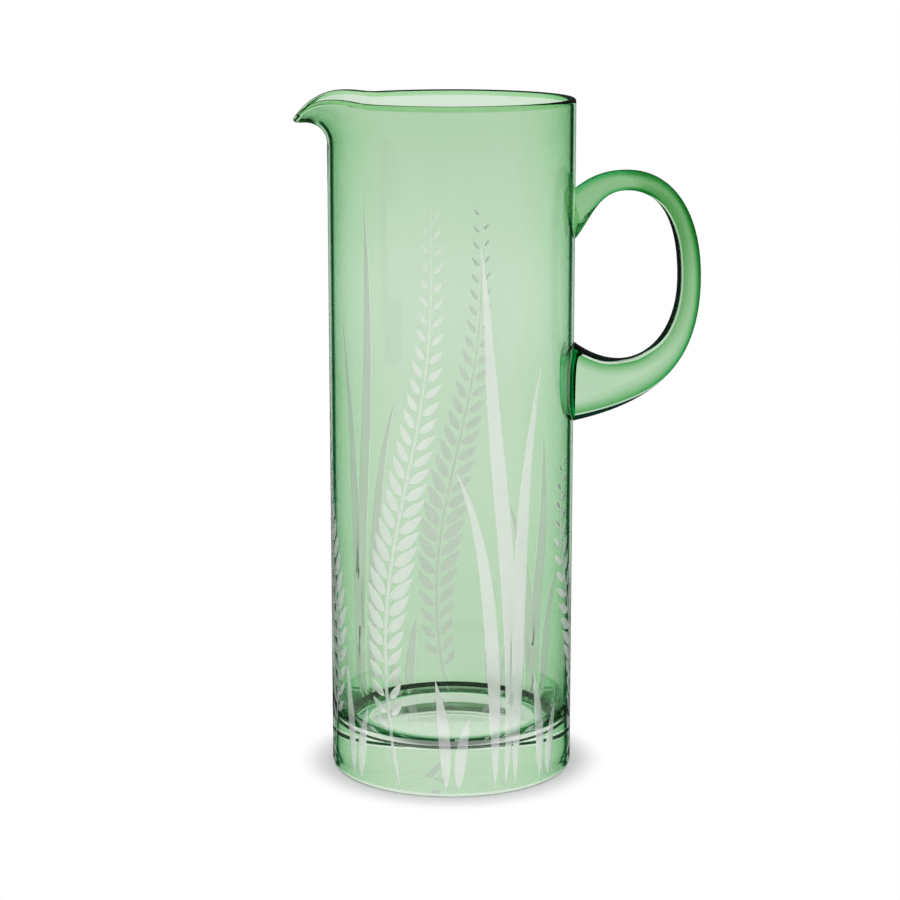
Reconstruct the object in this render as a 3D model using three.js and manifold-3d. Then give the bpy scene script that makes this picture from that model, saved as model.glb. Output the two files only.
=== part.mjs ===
// A tall cased-glass jug: a clear blown body with a pulled lip, a thin green casing fused over it,
// and an ear handle drawn from a gather of its own. Millimetres, +Z up, standing on z = 0.
// The lip points along -X and the handle along +X.
import * as THREE from "three";
import { mergeVertices } from "three/addons/utils/BufferGeometryUtils.js";
import Module from "manifold-3d";

// Body
const BODY_DIAMETER = 100;
const RIM_HEIGHT = 277.5;
const WALL = 2.7; // casing and clear glass together
const CASING = 0.7; // green overlay alone
const FLOOR = 17.5; // solid glass under the inside floor
const FLOOR_FILLET = 12; // inside corner between floor and wall
const ARRIS = 1.6; // ground round under the outer edge of the base
const FUSE_GAP = 0.3; // clearance that stands for a fused face between two pieces

// Pulled lip
const LIP_LENGTH = 18.1; // height of wall below the rim that the pull bends
const LIP_BEND = 8.2; // radius of the outer face at the middle of the throat
const LIP_TURN = THREE.MathUtils.degToRad(91); // how far the middle of the lip is turned down
const LIP_SPREAD = THREE.MathUtils.degToRad(53); // half of the arc of rim that the pull moves
const SHOULDER_RISE = 2.1; // how far the rim stands up on each side of the lip
const SHOULDER_PLACE = THREE.MathUtils.degToRad(25); // where, from the middle of the lip

// Handle, with heights measured down from the rim and reaches measured out from the wall
const CROWN_DROP = 33; // middle of the strap at its top
const CROWN_REACH = 21;
const CROWN_THICKNESS = 8.1;
const BOW_DROP = 73.5; // middle of the strap at its outermost point
const BOW_REACH = 46.6;
const BOW_THICKNESS = 9.5;
const ROOT_DROP = 115.4; // middle of the lower root
const ROOT_HEIGHT = 32.3;
const ROOT_WIDTH = 28;
const SEAT_DROP = 36.3; // top of the upper seat
const SEAT_HEIGHT = 20.4; // the upper seat with its pressed-down tail
const SEAT_WIDTH = 19;
const STRAP_WIDTH = 15;
const SECTION_POWER = 2.6; // 2 is an ellipse, more is a flatter oval
const SEAT_LEAD = 8; // length of handle made inside the wall and then cut away

// How far each side edge of the handle runs on along its direction at each place: out and up at the root
// and the seat, below and above the bow, and on the outer and the wall side of the crown
const OUTER_PULLS = { root: [35.6, 8], bow: [33.1, 27], crown: [19, 9], seat: [6, 4.8] };
const INNER_PULLS = { root: [23, -17], bow: [26.3, 23], crown: [14, 12], seat: [6.5, 8] };

// Facets
const SPIN_STEPS = 84;
const SPIN_CROWD = 0.42; // draws the spin's steps towards the lip
const LIP_ROWS = 9;
const ARC_TURN = THREE.MathUtils.degToRad(20); // most that an arc turns from facet to facet
const SPAN_RINGS = 14; // rings in each of the spans of the handle
const HANDLE_SIDES = 20;

// Worked out
const BODY_RADIUS = BODY_DIAMETER / 2;
const INNER_RADIUS = BODY_RADIUS - WALL;
const CASING_INNER_RADIUS = BODY_RADIUS - CASING;
const CORE_RADIUS = CASING_INNER_RADIUS - FUSE_GAP;
const LIP_START = RIM_HEIGHT - LIP_LENGTH;

const wasm = await Module();
wasm.setup();

const clearGlass = new THREE.MeshStandardMaterial({
  color: "#dfe9de",
  roughness: 0.04,
  metalness: 0,
  transparent: true,
  opacity: 0.55,
});
const greenGlass = new THREE.MeshStandardMaterial({
  color: "#8cc690",
  roughness: 0.04,
  metalness: 0,
  transparent: true,
  opacity: 0.6,
});
const handleGlass = new THREE.MeshStandardMaterial({
  color: "#8fc492",
  roughness: 0.05,
  metalness: 0,
  transparent: true,
  opacity: 0.75,
});

// Share of the full pull at an angle from the middle of the lip: 1 there, 0 from LIP_SPREAD on.
function lipShare(angle) {
  const away = Math.min(Math.abs(angle) / LIP_SPREAD, 1);
  return Math.cos((away * Math.PI) / 2) ** 2;
}

// Share of the shoulder's rise at an angle from the middle of the lip.
function shoulderShare(angle) {
  const away = Math.min(Math.abs(angle) / SHOULDER_PLACE, 2);
  return Math.sin((away * Math.PI) / 2) ** 2;
}

// Where a point of the straight wall goes when the lip is pulled. The outer face bends through an arc and
// runs on straight, and a point inside the wall keeps its depth from that face.
function pullLip(radius, height, angle) {
  const above = height - LIP_START;
  if (above <= 0) return { radius, height };
  const depth = BODY_RADIUS - radius;
  const bendLength = Math.min(LIP_BEND * LIP_TURN, LIP_LENGTH);
  const turn = Math.max(lipShare(angle) * LIP_TURN, 1e-6);
  const bent = Math.min(above, bendLength);
  const straight = above - bent;
  const tilt = (turn * bent) / bendLength;
  const bendRadius = bendLength / turn;
  const out = bendRadius * (1 - Math.cos(tilt)) + straight * Math.sin(tilt);
  const up = bendRadius * Math.sin(tilt) + straight * Math.cos(tilt);
  const rise = SHOULDER_RISE * shoulderShare(angle) * (above / LIP_LENGTH) ** 2;
  return {
    radius: BODY_RADIUS + out - depth * Math.cos(tilt),
    height: LIP_START + up + depth * Math.sin(tilt) + rise,
  };
}

// Spins an outline of (radius, height) points round Z and pulls the lip.
function spin(outline) {
  const geometry = new THREE.LatheGeometry(outline, SPIN_STEPS);
  const places = geometry.getAttribute("position");
  const spun = new THREE.Vector3();
  for (let i = 0; i < places.count; i++) {
    spun.fromBufferAttribute(places, i);
    const even = Math.atan2(spun.x, spun.z);
    const angle = even + SPIN_CROWD * Math.sin(even);
    const fromLip = Math.PI - Math.abs(angle);
    const pulled = pullLip(Math.hypot(spun.x, spun.z), spun.y, fromLip);
    places.setXYZ(
      i,
      pulled.radius * Math.cos(angle),
      pulled.radius * Math.sin(angle),
      pulled.height,
    );
  }
  geometry.computeVertexNormals();
  return geometry;
}

// Points up or down a straight wall through the part that the lip bends, ends included.
function wallRows(radius, from, to) {
  const rows = [];
  for (let i = 0; i <= LIP_ROWS; i++) {
    rows.push(new THREE.Vector2(radius, THREE.MathUtils.lerp(from, to, i / LIP_ROWS)));
  }
  return rows;
}

// Points along an arc about (radius, height).
function arcRows(radius, height, size, from, to) {
  const arc = new THREE.EllipseCurve(radius, height, size, size, from, to, to < from);
  return arc.getPoints(Math.ceil(Math.abs(to - from) / ARC_TURN));
}

// The rim is one round bead across the whole wall, shared by the casing and the clear glass.
const BEAD = WALL / 2;
const BEAD_RADIUS = BODY_RADIUS - BEAD;
const BEAD_HEIGHT = RIM_HEIGHT - BEAD;

// Angle, on a round of the given size, at which its surface lies the given depth inside its outer side.
function angleAtDepth(size, depth) {
  return Math.acos(THREE.MathUtils.clamp((size - depth) / size, -1, 1));
}

function clearVessel() {
  const coreDepth = CASING + FUSE_GAP;
  const beadAngle = angleAtDepth(BEAD, coreDepth);
  const arrisAngle = angleAtDepth(ARRIS, coreDepth);
  const beadFoot = BEAD_HEIGHT + BEAD * Math.sin(beadAngle);
  const outline = [
    new THREE.Vector2(0, 0),
    ...arcRows(BODY_RADIUS - ARRIS, ARRIS, ARRIS, -Math.PI / 2, -arrisAngle),
    ...wallRows(CORE_RADIUS, LIP_START, beadFoot).slice(0, -1),
    ...arcRows(BEAD_RADIUS, BEAD_HEIGHT, BEAD, beadAngle, Math.PI),
    ...wallRows(INNER_RADIUS, BEAD_HEIGHT, LIP_START).slice(1),
    ...arcRows(
      INNER_RADIUS - FLOOR_FILLET,
      FLOOR + FLOOR_FILLET,
      FLOOR_FILLET,
      0,
      -Math.PI / 2,
    ),
    new THREE.Vector2(0, FLOOR),
  ];
  const vessel = new THREE.Mesh(spin(outline), clearGlass);
  vessel.name = "clear_vessel";
  return vessel;
}

function greenCasing() {
  const beadAngle = angleAtDepth(BEAD, CASING);
  const arrisAngle = angleAtDepth(ARRIS, CASING);
  const beadTop = BEAD_HEIGHT + BEAD * Math.sin(beadAngle);
  const hem = arcRows(BODY_RADIUS - ARRIS, ARRIS, ARRIS, -arrisAngle, 0);
  const outline = [
    ...hem,
    ...wallRows(BODY_RADIUS, LIP_START, BEAD_HEIGHT).slice(0, -1),
    ...arcRows(BEAD_RADIUS, BEAD_HEIGHT, BEAD, 0, beadAngle),
    ...wallRows(CASING_INNER_RADIUS, beadTop, LIP_START).slice(1),
    hem[0].clone(),
  ];
  const casing = new THREE.Mesh(spin(outline), greenGlass);
  casing.name = "green_casing";
  return casing;
}

// A point in the plane of the handle.
function handlePoint(reach, drop) {
  return new THREE.Vector3(BODY_RADIUS + reach, 0, RIM_HEIGHT - drop);
}

// One edge of the handle seen from the side, as five spans: inside the wall, root to bow, bow to crown,
// crown to seat, and inside the wall again. Side is 1 for the outer edge and -1 for the inner one.
function handleEdge(side, pulls) {
  const root = handlePoint(0, ROOT_DROP + (side * ROOT_HEIGHT) / 2);
  const bow = handlePoint(BOW_REACH + (side * BOW_THICKNESS) / 2, BOW_DROP);
  const crown = handlePoint(CROWN_REACH, CROWN_DROP - (side * CROWN_THICKNESS) / 2);
  const seat = handlePoint(0, SEAT_DROP + (side < 0 ? SEAT_HEIGHT : 0));
  const shift = (from, out, up) => new THREE.Vector3(out, 0, up).add(from);
  const [belowBow, aboveBow] = pulls.bow;
  const [outsideCrown, insideCrown] = pulls.crown;
  return [
    new THREE.LineCurve3(shift(root, -SEAT_LEAD, 0), root),
    new THREE.CubicBezierCurve3(root, shift(root, ...pulls.root), shift(bow, 0, -belowBow), bow),
    new THREE.CubicBezierCurve3(bow, shift(bow, 0, aboveBow), shift(crown, outsideCrown, 0), crown),
    new THREE.CubicBezierCurve3(crown, shift(crown, -insideCrown, 0), shift(seat, ...pulls.seat), seat),
    new THREE.LineCurve3(seat, shift(seat, -SEAT_LEAD, 0)),
  ];
}

// Width of the handle across its plane, part of the way along one of its spans.
function handleWidth(span, part) {
  if (span === 0) return ROOT_WIDTH;
  if (span === 1) return STRAP_WIDTH + (ROOT_WIDTH - STRAP_WIDTH) * (1 - part) ** 3;
  if (span === 2) return STRAP_WIDTH;
  if (span === 3) return STRAP_WIDTH + (SEAT_WIDTH - STRAP_WIDTH) * part ** 3;
  return SEAT_WIDTH;
}

// Bends a plain unit cylinder between the handle's two edges, with an oval section.
function handleBlank() {
  const outer = handleEdge(1, OUTER_PULLS);
  const inner = handleEdge(-1, INNER_PULLS);
  const spans = outer.length;
  const geometry = new THREE.CylinderGeometry(1, 1, 1, HANDLE_SIDES, spans * SPAN_RINGS);
  const places = geometry.getAttribute("position");
  const flatten = (value) => Math.sign(value) * Math.abs(value) ** (2 / SECTION_POWER);
  for (let i = 0; i < places.count; i++) {
    const ring = Math.round((places.getY(i) + 0.5) * spans * SPAN_RINGS);
    const span = Math.min(Math.floor(ring / SPAN_RINGS), spans - 1);
    const part = ring / SPAN_RINGS - span;
    const high = outer[span].getPoint(part);
    const low = inner[span].getPoint(part);
    const across = 0.5 + flatten(places.getX(i)) / 2;
    const place = high.lerp(low, across);
    place.y = (flatten(places.getZ(i)) * handleWidth(span, part)) / 2;
    places.setXYZ(i, place.x, place.y, place.z);
  }
  return geometry;
}

// A geometry as a solid that can be cut.
function solidOf(geometry) {
  const bare = new THREE.BufferGeometry();
  bare.setAttribute("position", geometry.getAttribute("position"));
  bare.setIndex(geometry.getIndex());
  const merged = mergeVertices(bare, 1e-4);
  return new wasm.Manifold(
    new wasm.Mesh({
      numProp: 3,
      vertProperties: new Float32Array(merged.getAttribute("position").array),
      triVerts: new Uint32Array(merged.getIndex().array),
    }),
  );
}

// A solid as a geometry that can be shown.
function geometryOf(solid) {
  const mesh = solid.getMesh();
  const geometry = new THREE.BufferGeometry();
  geometry.setAttribute("position", new THREE.BufferAttribute(mesh.vertProperties, mesh.numProp));
  geometry.setIndex(new THREE.BufferAttribute(mesh.triVerts, 1));
  geometry.computeVertexNormals();
  return geometry;
}

function handle() {
  const wall = wasm.Manifold.cylinder(
    RIM_HEIGHT,
    BODY_RADIUS + FUSE_GAP,
    BODY_RADIUS + FUSE_GAP,
    SPIN_STEPS * 2,
  );
  const drawn = new THREE.Mesh(geometryOf(solidOf(handleBlank()).subtract(wall)), handleGlass);
  drawn.name = "handle";
  return drawn;
}

const jug = new THREE.Group();
jug.add(clearVessel(), greenCasing(), handle());

export default jug;
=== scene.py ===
"""Blender dressing of a tall hand-made glass jug: clear vessel, cut green casing, drawn handle."""

import logging
import math
from dataclasses import dataclass, field
from enum import Enum
from functools import partial, reduce
from random import Random
from typing import Sequence, Union

import bmesh
import bpy
import numpy as np
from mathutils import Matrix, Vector
from mathutils.geometry import delaunay_2d_cdt
from mathutils.kdtree import KDTree

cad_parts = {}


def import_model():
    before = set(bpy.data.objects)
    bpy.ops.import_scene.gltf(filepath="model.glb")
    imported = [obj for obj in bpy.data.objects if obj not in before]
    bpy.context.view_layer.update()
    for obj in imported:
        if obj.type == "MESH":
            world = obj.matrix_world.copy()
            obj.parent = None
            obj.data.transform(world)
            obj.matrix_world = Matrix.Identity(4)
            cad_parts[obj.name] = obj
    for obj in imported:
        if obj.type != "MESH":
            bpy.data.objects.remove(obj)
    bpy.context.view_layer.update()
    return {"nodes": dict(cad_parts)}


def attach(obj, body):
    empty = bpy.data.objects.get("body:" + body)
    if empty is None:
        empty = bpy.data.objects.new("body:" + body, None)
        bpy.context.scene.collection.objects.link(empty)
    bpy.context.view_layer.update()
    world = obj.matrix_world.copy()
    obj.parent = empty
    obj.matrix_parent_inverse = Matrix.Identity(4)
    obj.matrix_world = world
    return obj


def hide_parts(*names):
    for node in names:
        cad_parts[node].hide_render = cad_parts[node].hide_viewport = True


LOG = logging.getLogger("jug")
MM = 0.001
BODY = "root"

Socket = bpy.types.NodeSocket
Tree = bpy.types.NodeTree
Node = bpy.types.Node
Material = bpy.types.Material
Mesh = bpy.types.Mesh
Thing = bpy.types.Object
Colour = tuple[float, float, float]
Pair = tuple[float, float]
Pairs = tuple[Pair, ...]
Depths = tuple[tuple[float, Colour], ...]
Value = Union[float, int, Sequence[float], Socket]

# Layers: height in metres and the film's relative thickness there.
# Depths: colour of a film by how far its surface turns from the view, 0 face on and 1 edge on. Towards edge
# on the film deepens more than its real path would make it, so part of that darkening is painted shade, and
# some tables paint dark lines and pale strips by this angle.
# The wall's green. Where the wall turns edge on it paints a near-black line (0.237 to 0.25) and a pale strip
# (0.254 to 0.264), painted shade and a painted highlight standing in for the dark surroundings and the white
# background the edge would show, then painted shade past them.
WALL_TINT_AND_PAINTED_EDGE_LINES = (
    (0.0, (0.54, 0.72, 0.528)),
    (0.062, (0.54, 0.72, 0.528)),
    (0.095, (0.51, 0.705, 0.49)),
    (0.138, (0.46, 0.7, 0.455)),
    (0.1705, (0.41, 0.665, 0.42)),
    (0.1883, (0.37, 0.64, 0.375)),
    (0.2075, (0.32, 0.6, 0.335)),
    (0.2243, (0.255, 0.55, 0.28)),
    (0.2328, (0.22, 0.53, 0.235)),
    (0.2372, (0.01, 0.16, 0.05)),
    (0.2416, (0.0, 0.04, 0.008)),
    (0.246, (0.0, 0.045, 0.008)),
    (0.2506, (0.11, 0.34, 0.15)),
    (0.254, (0.78, 0.98, 0.8)),
    (0.264, (0.78, 0.98, 0.8)),
    (0.278, (0.2, 0.5, 0.24)),
    (0.45, (0.04, 0.24, 0.07)),
    (0.8, (0.0, 0.03, 0.008)),
)
WALL_LAYERS = (
    (0.045, 0.97),
    (0.088, 0.95),
    (0.105, 0.83),
    (0.165, 0.81),
    (0.185, 0.71),
    (0.204, 0.71),
    (0.22, 0.82),
    (0.2365, 0.92),
    (0.253, 1.0),
    (0.264, 1.13),
)
HANDLE_LAYERS = (
    (0.155, 0.64),
    (0.175, 0.76),
    (0.205, 0.9),
    (0.24, 1.3),
)
# The rim's green, going to a painted near-black outline, painted shade, where the rim turns edge on.
RIM_TINT_AND_PAINTED_OUTLINE = (
    (0.0, (0.38, 0.74, 0.35)),
    (0.3, (0.3, 0.68, 0.28)),
    (0.7, (0.15, 0.5, 0.17)),
    (0.85, (0.0, 0.05, 0.01)),
)
LIP_DEPTHS = (
    (0.0, (0.54, 0.72, 0.528)),
    (0.19, (0.37, 0.64, 0.375)),
    (0.25, (0.26, 0.56, 0.28)),
    (0.5, (0.16, 0.46, 0.19)),
    (1.0, (0.06, 0.32, 0.09)),
)
# The floor's inner corner: nearly clear face on, going to painted near-black shade where it turns edge on.
CORNER_TINT_AND_PAINTED_SHADE = (
    (0.0, (0.92, 0.98, 0.92)),
    (0.3, (0.76, 0.93, 0.77)),
    (0.5, (0.35, 0.72, 0.4)),
    (0.7, (0.05, 0.38, 0.12)),
    (0.85, (0.004, 0.16, 0.04)),
    (1.0, (0.0, 0.05, 0.01)),
)
# The rim along the lip: green, going to a painted near-black outline, painted shade, where it turns edge on.
LIP_RIM_TINT_AND_PAINTED_OUTLINE = (
    (0.0, (0.42, 0.76, 0.39)),
    (0.5, (0.48, 0.8, 0.46)),
    (0.78, (0.42, 0.76, 0.42)),
    (0.88, (0.0, 0.05, 0.01)),
)
# An opaque near-black line painted on the rim's top and in the floor's corner, standing in for shade.
PAINTED_DARK_LINE_COLOURS = (
    (0.0, (0.008, 0.055, 0.02)),
    (1.0, (0.004, 0.028, 0.01)),
)
# The handle's green, going to a painted near-black outline, painted shade, where the strap turns edge on.
STRAP_TINT_AND_PAINTED_OUTLINE = (
    (0.0, (0.36, 0.6, 0.35)),
    (0.1, (0.33, 0.59, 0.33)),
    (0.2, (0.26, 0.54, 0.27)),
    (0.35, (0.12, 0.47, 0.16)),
    (0.5, (0.05, 0.41, 0.11)),
    (0.7, (0.01, 0.36, 0.075)),
    (0.9, (0.002, 0.28, 0.04)),
    (0.97, (0.0, 0.08, 0.01)),
    (1.0, (0.0, 0.02, 0.002)),
)
SEAT_DEPTHS = (
    (0.0, (0.6, 0.8, 0.6)),
    (1.0, (0.6, 0.8, 0.6)),
)


class Slot(Enum):
    """The record's material slots."""

    CLEAR = "clear_glass"
    GREEN = "green_glass"
    HANDLE = "handle_glass"


class Skin(Enum):
    """Which finish a face of the body takes."""

    POLISHED = "polished"
    FUSED = "fused"
    GROUND = "ground"
    BARE = "bare"
    # On the vessel RIM and LIP take films that go to a painted near-black outline where they turn edge on.
    RIM = "rim"
    # An opaque near-black line painted on as shade.
    EDGE = "edge"
    # Nearly clear glass that goes to painted near-black shade where it turns edge on.
    CORNER = "corner"
    LIP = "lip"


class SprayKind(Enum):
    """The two plants of the cut design."""

    FERN = "fern"
    REED = "reed"


class NodeSheet:
    """Short calls for filling a node tree."""

    def __init__(self, tree: Tree) -> None:
        """Keeps the tree and empties it."""
        self.tree = tree
        self.tree.nodes.clear()

    def add(self, kind: str, inputs: dict | None = None, **settings: object) -> Node:
        """Adds one node.

        Args:
            kind: the node's type name.
            inputs: values or sockets to feed, by input name or index.
            settings: properties of the node.

        Returns:
            The new node.
        """
        node = self.tree.nodes.new(kind)
        for name, value in settings.items():
            setattr(node, name, value)
        for key, value in (inputs or {}).items():
            self.feed(node.inputs[key], value)
        return node

    def feed(self, socket: Socket, value: Value) -> None:
        """Links a socket to an input, or sets the input's own value.

        Args:
            socket: the input.
            value: the socket to link, or the value to set.
        """
        if isinstance(value, Socket):
            self.tree.links.new(value, socket)
        else:
            socket.default_value = value

    def math(self, operation: str, *values: Value) -> Socket:
        """Adds a Math node and returns its result."""
        return self.add("ShaderNodeMath", dict(enumerate(values)), operation=operation).outputs[0]

    def product(self, *values: Value) -> Socket:
        """Multiplies values in their order and returns the result."""
        return reduce(partial(self.math, "MULTIPLY"), values)

    def split(self, vector: Socket) -> bpy.types.NodeOutputs:
        """Adds a Separate XYZ node and returns its outputs."""
        return self.add("ShaderNodeSeparateXYZ", {0: vector}).outputs

    def join(self, **axes: Value) -> Socket:
        """Adds a Combine XYZ node fed by axis and returns the vector."""
        return self.add("ShaderNodeCombineXYZ", axes).outputs[0]

    def noise(self, place: Socket, scale: float, detail: float) -> Socket:
        """Adds a Noise texture on a coordinate and returns its factor."""
        node = self.add("ShaderNodeTexNoise", {"Vector": place, "Scale": scale, "Detail": detail})
        return node.outputs["Fac"]

    def ramp(self, fac: Value, low: Value, high: Value, start: float = 0.0, end: float = 1.0,
             kind: str = "LINEAR") -> Socket:
        """Maps a factor from start..end to low..high.

        Args:
            fac: the factor to map.
            low: result at start.
            high: result at end.
            start: factor at which low is reached.
            end: factor at which high is reached.
            kind: interpolation of the Map Range node.

        Returns:
            The mapped value.
        """
        inputs = {"Value": fac, "From Min": start, "From Max": end, "To Min": low, "To Max": high}
        return self.add("ShaderNodeMapRange", inputs, interpolation_type=kind).outputs["Result"]

    def stops(self, fac: Value, colours: Sequence[tuple[float, Colour]]) -> Socket:
        """Adds a Color Ramp.

        Args:
            fac: the factor to look up.
            colours: place and colour of each stop.

        Returns:
            The ramp's colour.
        """
        node = self.add("ShaderNodeValToRGB", {"Fac": fac})
        elements = node.color_ramp.elements
        while len(elements) < len(colours):
            elements.new(1.0)
        for element, (place, colour) in zip(elements, colours):
            element.position = place
            element.color = (*colour, 1.0)
        return node.outputs["Color"]

    def blend(self, fac: Value, first: Value, second: Value) -> Socket:
        """Mixes two colours.

        Args:
            fac: share of the second colour.
            first: the first colour, or its socket.
            second: the second colour, or its socket.

        Returns:
            The mixed colour.
        """
        node = self.add("ShaderNodeMix", data_type="RGBA")
        self.feed(node.inputs["Factor"], fac)
        for socket, value in zip(node.inputs[6:8], (first, second)):
            self.feed(socket, value if isinstance(value, Socket) else (*value, 1.0))
        return node.outputs[2]


def new_material(name: str, roughness: float = 0.0, ior: float = 1.5,
                 clarity: float = 1.0) -> tuple[Material, NodeSheet, Node]:
    """Starts a procedural glass.

    Args:
        name: the material's name.
        roughness: how matt the surface is.
        ior: index of refraction.
        clarity: share of the light that passes into the glass.

    Returns:
        The material, its sheet and its Principled shader, already linked to the output.
    """
    material = bpy.data.materials.new(name)
    material.use_nodes = True
    sheet = NodeSheet(material.node_tree)
    shader = sheet.add("ShaderNodeBsdfPrincipled")
    output = sheet.add("ShaderNodeOutputMaterial")
    sheet.feed(output.inputs["Surface"], shader.outputs["BSDF"])
    for label, value in (("Roughness", roughness), ("IOR", ior), ("Transmission Weight", clarity)):
        shader.inputs[label].default_value = value
    return material, sheet, shader


def stand(name: str, data: bpy.types.ID) -> Thing:
    """Makes an object and links it to the scene.

    Args:
        name: the object's name.
        data: its mesh, lamp or camera.

    Returns:
        The object.
    """
    thing = bpy.data.objects.new(name, data)
    bpy.context.scene.collection.objects.link(thing)
    return thing


@dataclass(frozen=True)
class StainedGlass:
    """Polished glass with a film of colour, deeper where it is thicker or is seen along the surface. The
    deepening along the surface is partly painted shade, and the film's table may paint dark lines and pale
    strips by angle.

    The layers are heights in metres with the film's relative thickness there.
    """

    THICKEST = 2.0

    name: str
    depths: Depths
    layers: Pairs = ((0.0, 1.0), (1.0, 1.0))
    streaks: float = 0.05
    streak_scale: float = 26.0
    streak_stretch: float = 0.25
    streak_detail: float = 2.0
    streak_range: Pair = (0.3, 0.7)
    ior: float = 1.5
    roughness: float = 0.0
    clarity: float = 1.0

    def material(self) -> Material:
        """Builds the procedural material.

        Returns:
            The material, with its gathering streaks on Object coordinates.
        """
        material, sheet, shader = new_material(self.name, self.roughness, self.ior, self.clarity)
        place = sheet.add("ShaderNodeTexCoord").outputs["Object"]
        drawn = sheet.add("ShaderNodeMapping", {"Vector": place, "Scale": (1.0, 1.0, self.streak_stretch)})
        streak = sheet.noise(drawn.outputs["Vector"], self.streak_scale, self.streak_detail)
        facing = sheet.add("ShaderNodeLayerWeight", {"Blend": 0.5}).outputs["Facing"]
        colour = self.colour(sheet, facing)
        height = sheet.split(place)["Z"]
        grey = [(at, (thick / self.THICKEST,) * 3) for at, thick in self.layers]
        low, high = (1.0 - self.streaks) * self.THICKEST, (1.0 + self.streaks) * self.THICKEST
        wash = sheet.ramp(streak, low, high, *self.streak_range)
        thickness = sheet.product(sheet.stops(height, grey), wash)
        tint = sheet.add("ShaderNodeGamma", {"Color": colour, "Gamma": thickness})
        sheet.feed(shader.inputs["Base Color"], tint.outputs[0])
        return material

    def colour(self, sheet: NodeSheet, facing: Socket) -> Socket:
        """The film's colour at its plain thickness.

        Args:
            sheet: the material's sheet.
            facing: how far the surface turns away from the view.

        Returns:
            The colour.
        """
        return sheet.stops(facing, self.depths)


@dataclass(frozen=True)
class StrapGlass(StainedGlass):
    """Stained glass of a drawn strap, with a painted dark line along its edges and a painted highlight
    beside it, standing in for the dark surroundings and the white background that the edges would show, and
    painted shade that deepens the green near the line.

    The strap's points store how far they lie past the painted dark line, in metres.
    """

    # Painted dark line: its colour, blur and the view angles over which it fades in; it stands in for shade.
    line: Colour = (0.0, 0.00004, 0.00001)
    painted_line_blur: float = 0.15 * MM
    painted_line_turn: Pair = (0.15, 0.35)
    # Painted highlight beside the dark line, and its width.
    painted_highlight: Colour = (0.97, 1.0, 0.98)
    painted_highlight_width: float = 0.7 * MM
    shade: float = 2.7
    shade_width: float = 5.5 * MM

    def colour(self, sheet: NodeSheet, facing: Socket) -> Socket:
        """The film's colour with the painted dark line and the painted highlight.

        Args:
            sheet: the material's sheet.
            facing: how far the surface turns away from the view.

        Returns:
            The colour.
        """
        past = sheet.add("ShaderNodeAttribute", attribute_name="past_line").outputs["Fac"]
        # Painted dark line where the strap turns from the view, a painted highlight just past it, and
        # painted shade deepening the green near it.
        turned = sheet.ramp(facing, 0.0, 1.0, *self.painted_line_turn)
        dark = sheet.product(turned, sheet.ramp(past, 1.0, 0.0, 0.0, self.painted_line_blur))
        painted_highlight = sheet.ramp(past, 1.0, 0.0, self.painted_highlight_width, self.painted_highlight_width + self.painted_line_blur)
        deeper = sheet.ramp(past, self.shade, 1.0, self.painted_highlight_width, self.shade_width)
        film = sheet.stops(facing, self.depths)
        strap = sheet.add("ShaderNodeGamma", {"Color": film, "Gamma": deeper}).outputs[0]
        strap = sheet.blend(sheet.product(turned, painted_highlight), strap, self.painted_highlight)
        return sheet.blend(dark, strap, self.line)


@dataclass(frozen=True)
class SeatGlass(StainedGlass):
    """The face where the strap is fused to the wall.

    At the root it is green between a painted dark core and a painted dark outline, both standing in for
    shade, and the root's points store 1 to 2 from the middle of the seat to its outline.
    """

    root: Colour = (0.0, 0.35, 0.05)
    # Painted near-black outline and core of the root, standing in for shade: its colour, where each begins
    # and how soft it is.
    outline: Colour = (0.0, 0.0001, 0.0)
    painted_outline_start: float = 1.88
    painted_outline_blur: float = 0.04
    painted_core_end: float = 1.55
    painted_core_blur: float = 0.05
    root_range: Pair = (0.4, 0.6)

    def colour(self, sheet: NodeSheet, facing: Socket) -> Socket:
        """The film's colour on the root and on the upper seat.

        Args:
            sheet: the material's sheet.
            facing: how far the surface turns away from the view.

        Returns:
            The colour.
        """
        rooted = sheet.add("ShaderNodeAttribute", attribute_name="rooted").outputs["Fac"]
        # Painted dark outline at the root's rim and painted dark core in its middle.
        ring = sheet.ramp(rooted, 0.0, 1.0, self.painted_outline_start, self.painted_outline_start + self.painted_outline_blur)
        core = sheet.ramp(rooted, 1.0, 0.0, self.painted_core_end, self.painted_core_end + self.painted_core_blur)
        root = sheet.blend(sheet.math("MAXIMUM", ring, core), self.root, self.outline)
        on_root = sheet.ramp(rooted, 0.0, 1.0, *self.root_range)
        return sheet.blend(on_root, sheet.stops(facing, self.depths), root)


@dataclass(frozen=True)
class ClearGlass:
    """Colourless polished glass with the faintest cords in it."""

    name: str
    tint: Colour = (0.985, 0.995, 0.985)
    cord_tint: Colour = (0.955, 0.975, 0.955)
    cord_scale: float = 22.0
    cord_detail: float = 3.0

    def material(self) -> Material:
        """Builds the procedural material.

        Returns:
            The material, with its cords on Object coordinates.
        """
        material, sheet, shader = new_material(self.name)
        place = sheet.add("ShaderNodeTexCoord").outputs["Object"]
        cords = sheet.noise(place, self.cord_scale, self.cord_detail)
        sheet.feed(shader.inputs["Base Color"], sheet.blend(cords, self.tint, self.cord_tint))
        return material


@dataclass(frozen=True)
class FusedGlass:
    """The face where two gathers are fused: light passes it unbent."""

    name: str
    tint: Colour = (1.0, 1.0, 1.0)

    def material(self) -> Material:
        """Builds the material.

        Returns:
            The material.
        """
        material, _, shader = new_material(self.name, ior=1.0)
        shader.inputs["Base Color"].default_value = (*self.tint, 1.0)
        return material


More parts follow.
